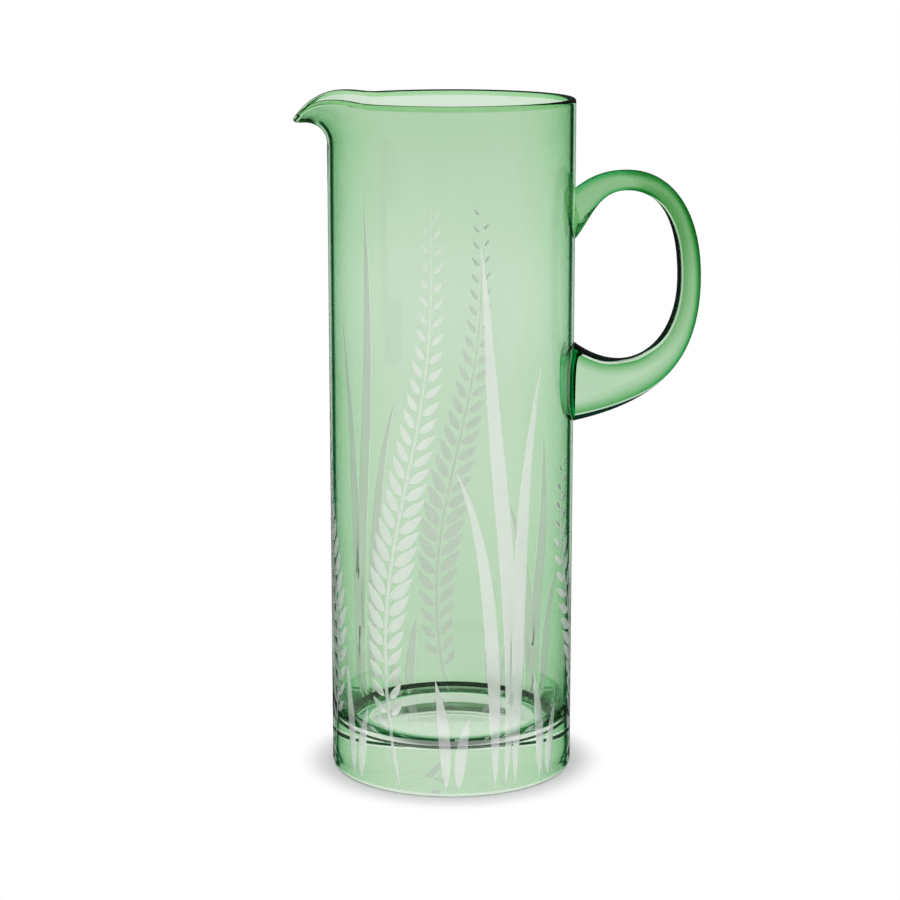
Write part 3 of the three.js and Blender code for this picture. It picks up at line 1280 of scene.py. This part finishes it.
@dataclass
class Casing:
    """The thin green overlay with the cut design in its outer face."""

    shape: BodyShape
    design: CutDesign
    polished: ClearGlass = ClearGlass("green_glass_polished")
    # The wall's green film, with painted shade lines and a painted highlight strip where it turns edge on.
    film: StainedGlass = StainedGlass("green_glass_film_painted_edge_lines", WALL_TINT_AND_PAINTED_EDGE_LINES, WALL_LAYERS, ior=1.0)
    lip_film: StainedGlass = StainedGlass("green_glass_lip", LIP_DEPTHS, WALL_LAYERS, ior=1.0)
    ground: GroundGlass = GroundGlass("green_glass_cut")
    bare: FusedGlass = FusedGlass("green_glass_bare")
    lip_rows: int = 9
    lip_least: float = 0.3
    fill_step: float = 5.2
    clearance: float = 3.2
    weld: float = 1e-6
    sharp: float = math.radians(50.0)

    def wall_patch(self, shell: ShellMesh) -> None:
        """Adds the straight part of the outer wall with the leaves cut into it.

        Args:
            shell: the shell that takes the faces.
        """
        shape, design = self.shape, self.design
        radius = shape.radius / MM
        low, high = shape.arris / MM, shape.lip_start / MM
        length = 2.0 * math.pi * radius
        points = list(design.points)
        first, last = min(u for u, _ in points), max(u for u, _ in points)
        step = length / shape.columns
        start = round((first + last - length) / 2.0 / step) * step
        LOG.info("cut design from %.1f to %.1f mm round the wall, seam at %.1f mm", first, last, start)
        edge = np.linspace(start, start + length, shape.columns + 1)
        side = np.linspace(low, high, round((high - low) / self.fill_step) + 1)[1:-1]
        points += [(float(u), z) for z in (low, high) for u in edge]
        points += [(u, float(z)) for u in (start, start + length) for z in side]
        tree = KDTree(len(points))
        for number, (u, z) in enumerate(points):
            tree.insert((u, z, 0.0), number)
        tree.balance()
        for row, z in enumerate(side):
            shift = 0.5 if row % 2 else 0.0
            for column in range(1, shape.columns // 2):
                u = start + length * (column + shift) / (shape.columns // 2)
                if tree.find((u, float(z), 0.0))[2] > self.clearance:
                    points.append((u, float(z)))
        verts, _, faces, origin, _, owner = delaunay_2d_cdt(
            [Vector(p) for p in points], [], design.faces, 0, self.weld, True)
        flat = np.array([points[s[0]] if s else (v.x, v.y) for v, s in zip(verts, origin)])
        depth = np.zeros(len(flat))
        for number, sources in enumerate(origin):
            known = [design.depths[s] for s in sources if s < len(design.depths)]
            depth[number] = max(known, default=0.0)
        turn = flat[:, 0] / radius - math.pi / 2.0
        starts = []
        for reach in (radius - depth, radius - shape.casing / MM + 0.0 * depth):
            place = np.stack((reach * np.cos(turn), reach * np.sin(turn), flat[:, 1]), axis=1)
            starts.append(shell.add_points(place * MM))
        for corners, sources in zip(faces, owner):
            cut = len(sources) > 0
            outside = Skin.GROUND if cut else Skin.POLISHED
            inside = Skin.BARE if cut else Skin.FUSED
            shell.add_face([starts[0] + c for c in corners], outside, not cut, cut)
            shell.add_face([starts[1] + c for c in corners[::-1]], inside, True)

    def build(self) -> Thing:
        """Makes the mesh, dresses it and sets it in the frame.

        Returns:
            The finished piece.
        """
        shape = self.shape
        materials = self.dress()
        self.design.draw(materials[Skin.GROUND])
        shell = ShellMesh()
        self.wall_patch(shell)
        hem = shape.arris_arc(-shape.arris_split, 0.0)
        rim = shape.rim_arc(0.0, shape.bead_split)
        inside = shape.radius - shape.casing
        lip = shape.lip_climb(shape.radius, rim[0][1])
        lining = shape.lip_climb(inside, rim[-1][1])[::-1]
        foot = [(inside, shape.arris), (inside, hem[0][1])]
        shell.add_rows(shape.rings(foot + hem[1:]), [Skin.BARE] + [Skin.POLISHED] * (len(hem) - 1))
        shell.add_rows(shape.rings(lip + rim[1:]), [Skin.POLISHED] * (len(lip) + len(rim) - 2))
        shares = shape.lip_share(shape.angles())
        pulled = [Skin.RIM if share > self.lip_least else Skin.FUSED for share in shares]
        plain = [Skin.FUSED] * (len(lining) - 1 - self.lip_rows)
        shell.add_rows(shape.rings(lining), [pulled] * self.lip_rows + plain)
        thing = shell.make("jug_casing", materials, self.sharp)
        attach(thing, BODY)
        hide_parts("green_casing")
        return thing

    def dress(self) -> dict[Skin, Material]:
        """Builds the finishes.

        Returns:
            The material of each skin.
        """
        return {Skin.POLISHED: self.polished.material(), Skin.FUSED: self.film.material(),
                Skin.GROUND: self.ground.material(), Skin.BARE: self.bare.material(),
                Skin.RIM: self.lip_film.material()}


@dataclass
class Handle:
    """The ear handle, drawn between an outer and an inner edge.

    Reaches are in millimetres off the wall and drops in millimetres under the rim. The crown and the bow
    are given by reach, drop and thickness. The painted lines are stops along the handle's three spans, with
    how far from each edge the painted dark line reaches.
    """

    WELD = 1e-6
    FLATTEST = 1e-8
    SEATED = 0.6

    shape: BodyShape
    # Green strap with painted dark lines, painted highlights and painted shade along its edges.
    glass: StrapGlass = StrapGlass("handle_glass_painted_lines", STRAP_TINT_AND_PAINTED_OUTLINE, HANDLE_LAYERS)
    # The seat, with a painted dark outline and core at the root.
    seat: SeatGlass = SeatGlass("handle_glass_seat_painted_outline", SEAT_DEPTHS, HANDLE_LAYERS, ior=1.0)
    crown: tuple[float, float, float] = (21.0, 33.0, 8.1)
    bow: tuple[float, float, float] = (46.6, 73.5, 9.5)
    root_drop: float = 115.4
    root_height: float = 32.3
    root_width: float = 28.0
    seat_drop: float = 36.3
    seat_height: float = 20.4
    seat_width: float = 19.0
    strap_width: float = 15.0
    round_power: float = 2.4
    flat_power: float = 2.5
    outer_pulls: Pairs = ((35.6, 8.0), (33.1, 27.0), (19.0, 9.0), (6.0, 4.8))
    inner_pulls: Pairs = ((23.0, -17.0), (26.3, 23.0), (14.0, 12.0), (6.5, 8.0))
    # How far in from each edge the painted dark line reaches along the three spans; the caps get none.
    no_painted_line: float = 1.0
    inner_line: Pairs = (
        (0.0, 1.5), (0.16, 1.1), (0.3, 0.1), (0.5, 0.1), (0.68, 1.0), (1.25, 1.3), (1.6, 0.5), (1.85, -0.8),
        (2.1, -5.0))
    outer_line: Pairs = (
        (0.0, 3.6), (0.22, 2.2), (0.4, 0.4), (0.6, -0.8), (1.3, -0.8), (1.7, -5.0))
    stand_off: float = 0.15
    steps: int = 26
    cap_shares: tuple[float, ...] = (0.0, 0.3, 0.55, 0.6, 0.75, 0.88, 0.92, 1.0)
    sides: int = 56
    sharp: float = math.radians(50.0)

    def strap_tree(self) -> Tree:
        """The tree that draws a rounded strap between two edges.

        Returns:
            A tree whose geometry is the outer edge, with the strap's width and its seating on the wall
            stored on the edge's points.
        """
        tree, sheet, given = geometry_tree("drawn_strap", {
            "Inner Edge": "Object", "Rings": "Int", "Sides": "Int", "Round Power": "Float",
            "Flat Power": "Float", "Wall Radius": "Float", "Glass": "Material", "Seat Glass": "Material"})
        inner = sheet.add("GeometryNodeObjectInfo", {"Object": given.outputs["Inner Edge"]})
        round_count = sheet.math("ADD", given.outputs["Sides"], 1.0)
        grid = sheet.add("GeometryNodeMeshGrid", {
            "Vertices X": given.outputs["Rings"], "Vertices Y": round_count})
        place = sheet.add("GeometryNodeInputPosition").outputs[0]
        where = sheet.split(place)
        along = sheet.math("ADD", where["X"], 0.5)
        last = sheet.math("SUBTRACT", given.outputs["Rings"], 1.0)
        ring = sheet.math("ROUND", sheet.product(along, last))
        angle = sheet.product(sheet.math("ADD", where["Y"], 0.5), 2.0 * math.pi)
        outward = sheet.math("GREATER_THAN", sheet.math("COSINE", angle), 0.0)
        power = sheet.math("DIVIDE", 2.0, sheet.ramp(outward, given.outputs["Flat Power"],
                                                     given.outputs["Round Power"]))

        def squared(operation: str) -> Socket:
            """A wave of the angle, pushed out towards a rounded square.

            Args:
                operation: the wave, SINE or COSINE.

            Returns:
                The pushed wave.
            """
            wave = sheet.math(operation, angle)
            size = sheet.math("POWER", sheet.math("ABSOLUTE", wave), power)
            return sheet.product(sheet.math("SIGN", wave), size)

        def picked(geometry: Socket, value: Socket, kind: str) -> Socket:
            """A value read from an edge's point at this ring.

            Args:
                geometry: the edge.
                value: what is read.
                kind: its data type.

            Returns:
                The value.
            """
            edge = {"Geometry": geometry, "Index": ring}
            node = sheet.add("GeometryNodeSampleIndex", edge, data_type=kind)
            sheet.feed(node.inputs["Value"], value)
            return node.outputs[0]

        def mark(name: str) -> Socket:
            """A named attribute of the outer edge at this ring."""
            stored = sheet.add("GeometryNodeInputNamedAttribute", {"Name": name}, data_type="FLOAT")
            return picked(given.outputs["Geometry"], stored.outputs[0], "FLOAT")

        outside = picked(given.outputs["Geometry"], place, "FLOAT_VECTOR")
        inside = picked(inner.outputs["Geometry"], place, "FLOAT_VECTOR")
        share = sheet.math("ADD", sheet.product(squared("COSINE"), 0.5), 0.5)
        spine = sheet.add("ShaderNodeMix", {"Factor": share}, data_type="VECTOR")
        sheet.feed(spine.inputs[4], inside)
        sheet.feed(spine.inputs[5], outside)
        centre = sheet.split(spine.outputs[1])
        y = sheet.product(mark("width"), 0.5, squared("SINE"))
        square = sheet.math("POWER", given.outputs["Wall Radius"], 2.0)
        wall = sheet.math("SQRT", sheet.math("SUBTRACT", square, sheet.math("POWER", y, 2.0)))
        x = sheet.ramp(mark("seated"), centre["X"], wall)
        spot = sheet.join(X=x, Y=y, Z=centre["Z"])
        apart = sheet.add("ShaderNodeVectorMath", {0: outside, 1: inside}, operation="DISTANCE")
        thick = apart.outputs["Value"]
        rest = sheet.math("SUBTRACT", 1.0, share)
        # How far each point lies past the painted dark line of the nearer edge.
        past_inner = sheet.math("SUBTRACT", sheet.product(thick, share), mark("inner_line"))
        past_outer = sheet.math("SUBTRACT", sheet.product(thick, rest), mark("outer_line"))
        past = sheet.math("MINIMUM", past_inner, past_outer)
        marked = grid.outputs["Mesh"]
        for name, value in (("past_line", past), ("rooted", mark("rooted")), ("seated", mark("seated"))):
            store = sheet.add("GeometryNodeStoreNamedAttribute", {"Geometry": marked, "Name": name},
                              data_type="FLOAT", domain="POINT")
            sheet.feed(store.inputs["Value"], value)
            marked = store.outputs[0]
        moved = sheet.add("GeometryNodeSetPosition", {"Geometry": marked, "Position": spot})
        closed = sheet.add("GeometryNodeMergeByDistance", {
            "Geometry": moved.outputs[0], "Distance": self.WELD})
        seated = sheet.add("GeometryNodeInputNamedAttribute", {"Name": "seated"}, data_type="FLOAT")
        real = sheet.add("GeometryNodeRealizeInstances", {"Geometry": closed.outputs[0]})
        drawn = sheet.add("GeometryNodeSetMaterial", {
            "Geometry": real.outputs[0], "Material": given.outputs["Glass"]})
        fused = sheet.add("GeometryNodeSetMaterial", {
            "Geometry": drawn.outputs[0], "Material": given.outputs["Seat Glass"],
            "Selection": sheet.math("GREATER_THAN", seated.outputs[0], self.SEATED)})
        sheet.add("NodeGroupOutput", {"Geometry": fused.outputs[0]})
        return tree

    def knots(self, outside: bool) -> list[Pair]:
        """Reach and drop of one edge's four knots, from the root to the seat.

        Args:
            outside: whether the edge is the outer one.

        Returns:
            The knots.
        """
        sign = 1.0 if outside else -1.0
        crown_reach, crown_drop, crown_thick = self.crown
        bow_reach, bow_drop, bow_thick = self.bow
        seat = self.seat_drop + (0.0 if outside else self.seat_height)
        return [(0.0, self.root_drop + sign * self.root_height / 2.0),
                (bow_reach + sign * bow_thick / 2.0, bow_drop),
                (crown_reach, crown_drop - sign * crown_thick / 2.0),
                (0.0, seat)]

    def edge(self, outside: bool) -> np.ndarray:
        """Points of one edge in metres, from the root to the seat.

        Args:
            outside: whether the edge is the outer one.

        Returns:
            The points, in the plane of the handle.
        """
        flip = np.array((1.0, -1.0))
        root, bow, crown, seat = (np.array(knot) * flip for knot in self.knots(outside))
        pulls = self.outer_pulls if outside else self.inner_pulls
        from_root, at_bow, at_crown, from_seat = (np.array(pull) for pull in pulls)
        up, out = np.array((0.0, 1.0)), np.array((1.0, 0.0))
        spans = ((root, root + from_root, bow - up * at_bow[0], bow),
                 (bow, bow + up * at_bow[1], crown + out * at_crown[0], crown),
                 (crown, crown - out * at_crown[1], seat + from_seat, seat))
        t = np.linspace(0.0, 1.0, self.steps + 1)[:, None]
        line = [spans[0][0][None, :]]
        for a, b, c, d in spans:
            curve = (1 - t) ** 3 * a + 3 * t * (1 - t) ** 2 * b + 3 * t ** 2 * (1 - t) * c + t ** 3 * d
            line.append(curve[1:])
        flat = np.concatenate(line) * MM
        height = self.shape.rim_height + flat[:, 1]
        return np.stack((self.shape.radius + flat[:, 0], 0.0 * height, height), axis=1)

    def widths(self) -> np.ndarray:
        """Widths of the strap.

        Returns:
            The width in metres at each point of the strap's edges.
        """
        t = np.linspace(0.0, 1.0, self.steps + 1)[1:]
        root = self.strap_width + (self.root_width - self.strap_width) * (1.0 - t) ** 3
        seat = self.strap_width + (self.seat_width - self.strap_width) * t ** 3
        return np.concatenate(([self.root_width], root, 0.0 * t + self.strap_width, seat)) * MM

    def build(self) -> Thing:
        """Makes the mesh, dresses it and sets it in the frame.

        Returns:
            The finished piece.
        """
        outer, inner, width = self.edge(True), self.edge(False), self.widths()
        shrink = np.array(self.cap_shares)
        blocks = []
        for line in (outer, inner):
            ends = [(outer[i] + inner[i]) / 2.0 for i in (0, -1)]
            root = ends[0] + (line[0] - ends[0]) * shrink[:, None]
            seat = ends[1] + (line[-1] - ends[1]) * shrink[::-1, None]
            blocks.append(np.concatenate((root, line, seat)))
        marks = {"width": np.concatenate((width[0] * shrink, width, width[-1] * shrink[::-1])),
                 "seated": np.concatenate((0.0 * shrink + 1.0, 0.0 * width, 0.0 * shrink + 1.0)),
                 "rooted": np.concatenate((1.0 + shrink, 0.0 * width, 0.0 * shrink))}
        for name, stops in (("inner_line", self.inner_line), ("outer_line", self.outer_line)):
            reach = np.interp(np.arange(len(width)) / self.steps, *np.array(stops).T)
            ends = 0.0 * shrink - self.no_painted_line
            marks[name] = np.concatenate((ends, reach, ends)) * MM
        outside = polyline("handle_outer_edge", blocks[0], marks)
        inside = polyline("handle_inner_edge", blocks[1])
        mesh = grow(outside, self.strap_tree(), {
            "Inner Edge": inside, "Rings": len(blocks[0]), "Sides": self.sides,
            "Round Power": self.round_power, "Flat Power": self.flat_power,
            "Wall Radius": self.shape.radius + self.stand_off * MM,
            "Glass": self.glass.material(), "Seat Glass": self.seat.material()})
        discard(outside, inside)
        mesh.name = "jug_handle"
        self.turn_out(mesh)
        mesh.polygons.foreach_set("use_smooth", [True] * len(mesh.polygons))
        mesh.set_sharp_from_angle(angle=self.sharp)
        thing = stand("jug_handle", mesh)
        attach(thing, BODY)
        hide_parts("handle")
        return thing

    def turn_out(self, mesh: Mesh) -> None:
        """Points every face of a closed mesh outwards.

        Args:
            mesh: the mesh.
        """
        shell = bmesh.new()
        shell.from_mesh(mesh)
        bmesh.ops.dissolve_degenerate(shell, dist=self.FLATTEST, edges=shell.edges)
        bmesh.ops.recalc_face_normals(shell, faces=shell.faces)
        shell.to_mesh(mesh)
        shell.free()


@dataclass(frozen=True)
class SoftLamp:
    """One square lamp with a diffusing front."""

    name: str
    place: tuple[float, float, float]
    size: float
    power: float

    def build(self, aim: Vector) -> None:
        """Hangs the lamp and turns it to the aim.

        Args:
            aim: where it shines.
        """
        data = bpy.data.lights.new(self.name, "AREA")
        data.shape = "SQUARE"
        data.size = self.size
        data.energy = self.power
        lamp = stand(self.name, data)
        lamp.location = self.place
        lamp.visible_glossy = False
        lamp.visible_transmission = False
        lamp.rotation_euler = (aim - Vector(self.place)).to_track_quat("-Z", "Y").to_euler()


@dataclass(frozen=True)
class Studio:
    """The white floor, the world's band of light round it, the lamps and the camera."""

    camera_place: tuple[float, float, float] = (-0.0006, -1.0116, 0.3496)
    camera_pitch: float = math.radians(12.08)
    lens: float = 100.3
    sensor: float = 36.0
    floor_half: float = 4.0
    floor_glow: float = 0.1
    shade_reach: Pair = (0.05, 0.066)
    # Painted shadow ring that rays through the glass see on the floor round the base: where it starts, ends
    # and how dark it is.
    painted_shadow_ring_start: Pair = (0.050, 0.053)
    painted_shadow_ring_end: Pair = (0.070, 0.095)
    painted_shadow_ring_level: float = 0.03
    floor_grey: float = 0.9
    top_start: float = math.radians(30.0)
    top_end: float = math.radians(60.0)
    top_level: float = 0.1
    foot_start: float = math.radians(-75.0)
    foot_end: float = math.radians(-45.0)
    foot_level: float = 0.3
    gloss_level: float = 0.03
    ambient: float = 0.8
    glass_bounces: int = 40
    gloss_bounces: int = 16
    clear_bounces: int = 24
    aim: tuple[float, float, float] = (0.0, 0.0, 0.14)
    lamps: tuple[SoftLamp, ...] = (
        SoftLamp("key_lamp", (-0.9, -1.0, 1.3), 0.8, 5.0),
        SoftLamp("fill_lamp", (1.1, -0.7, 0.9), 0.8, 3.0),
    )

    def build(self) -> None:
        """Sets up the whole stage."""
        self.build_camera()
        self.build_world()
        self.build_floor()
        for lamp in self.lamps:
            lamp.build(Vector(self.aim))
        scene = bpy.context.scene
        scene.view_settings.view_transform = "Standard"
        scene.cycles.max_bounces = self.glass_bounces
        scene.cycles.transmission_bounces = self.glass_bounces
        scene.cycles.glossy_bounces = self.gloss_bounces
        scene.cycles.transparent_max_bounces = self.clear_bounces

    def build_camera(self) -> None:
        """Stands the camera where the photograph was taken from."""
        data = bpy.data.cameras.new("camera")
        data.lens = self.lens
        data.sensor_width = self.sensor
        camera = stand("camera", data)
        camera.location = self.camera_place
        camera.rotation_euler = (math.pi / 2.0 - self.camera_pitch, 0.0, 0.0)
        bpy.context.scene.camera = camera

    @staticmethod
    def rays(sheet: NodeSheet) -> tuple[Socket, Socket, Socket]:
        """Light Path factors.

        Args:
            sheet: the sheet that takes the node.

        Returns:
            Whether the ray comes from the camera, from a gloss, and through glass.
        """
        path = sheet.add("ShaderNodeLightPath")
        return tuple(path.outputs[f"Is {kind} Ray"] for kind in ("Camera", "Glossy", "Transmission"))

    def build_world(self) -> None:
        """Makes the white background and the band of light round the horizon that the glass shows, darker
        overhead and underfoot.
        """
        world = bpy.data.worlds.new("studio")
        world.use_nodes = True
        bpy.context.scene.world = world
        sheet = NodeSheet(world.node_tree)
        ray = sheet.split(sheet.add("ShaderNodeTexCoord").outputs["Generated"])
        rise = sheet.math("ARCSINE", ray["Z"])
        top = sheet.ramp(rise, 1.0, self.top_level, self.top_start, self.top_end, "SMOOTHSTEP")
        foot = sheet.ramp(rise, self.foot_level, 1.0, self.foot_start, self.foot_end, "SMOOTHSTEP")
        shown = sheet.product(foot, top)
        camera, gloss, glass = self.rays(sheet)
        mirrored = sheet.product(shown, self.gloss_level)
        level = sheet.ramp(glass, sheet.ramp(gloss, self.ambient, mirrored), shown)
        level = sheet.ramp(camera, level, 1.0)
        back = sheet.add("ShaderNodeBackground", {"Color": (1.0, 1.0, 1.0, 1.0), "Strength": level})
        sheet.add("ShaderNodeOutputWorld", {"Surface": back.outputs[0]})

    def build_floor(self) -> None:
        """Lays the white floor, which keeps the jug's shadow, and to rays through the glass shows a painted
        shadow ring round the base.
        """
        half = self.floor_half
        mesh = bpy.data.meshes.new("floor")
        corners = [(-half, -half, 0.0), (half, -half, 0.0), (half, half, 0.0), (-half, half, 0.0)]
        mesh.from_pydata(corners, [], [(0, 1, 2, 3)])
        material = bpy.data.materials.new("floor_white")
        material.use_nodes = True
        sheet = NodeSheet(material.node_tree)
        grey = self.floor_grey
        matt = sheet.add("ShaderNodeBsdfDiffuse", {"Color": (grey, grey, grey, 1.0)})
        glow = sheet.add("ShaderNodeEmission", {"Strength": 1.0})
        place = sheet.add("ShaderNodeTexCoord").outputs["Object"]
        far = sheet.add("ShaderNodeVectorMath", {0: place}, operation="LENGTH").outputs["Value"]
        share = sheet.ramp(far, self.floor_glow, 1.0, *self.shade_reach, "SMOOTHSTEP")
        white = sheet.add("ShaderNodeMixShader", {0: share, 1: matt.outputs[0], 2: glow.outputs[0]})
        # Painted shadow ring: to rays through the glass the floor is dark from 53 to 70 mm out, back to
        # white at 95 mm.
        near = sheet.ramp(far, 1.0, self.painted_shadow_ring_level, *self.painted_shadow_ring_start, "SMOOTHSTEP")
        away = sheet.ramp(far, 0.0, 1.0, *self.painted_shadow_ring_end, "SMOOTHSTEP")
        through = sheet.add("ShaderNodeEmission", {"Strength": sheet.math("MAXIMUM", near, away)})
        mirrored = sheet.add("ShaderNodeBsdfTransparent")
        _, gloss, glass = self.rays(sheet)
        seen = sheet.add("ShaderNodeMixShader", {0: glass, 1: white.outputs[0], 2: through.outputs[0]})
        both = sheet.add("ShaderNodeMixShader", {0: gloss, 1: seen.outputs[0], 2: mirrored.outputs[0]})
        sheet.add("ShaderNodeOutputMaterial", {"Surface": both.outputs[0]})
        mesh.materials.append(material)
        floor = stand("floor", mesh)


def main() -> None:
    """Builds the stage and the pieces in order."""
    logging.basicConfig(level=logging.INFO, format="%(message)s")
    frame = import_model()
    LOG.info("frame with %d nodes", len(frame["nodes"]))
    Studio().build()
    shape = BodyShape()
    design = CutDesign(2.0 * math.pi * shape.radius / MM)
    for part in (Vessel(shape), Casing(shape, design), Handle(shape)):
        piece = part.build()
        LOG.info("%s: %d faces", piece.name, len(piece.data.polygons))


if __name__ == "__main__":
    main()
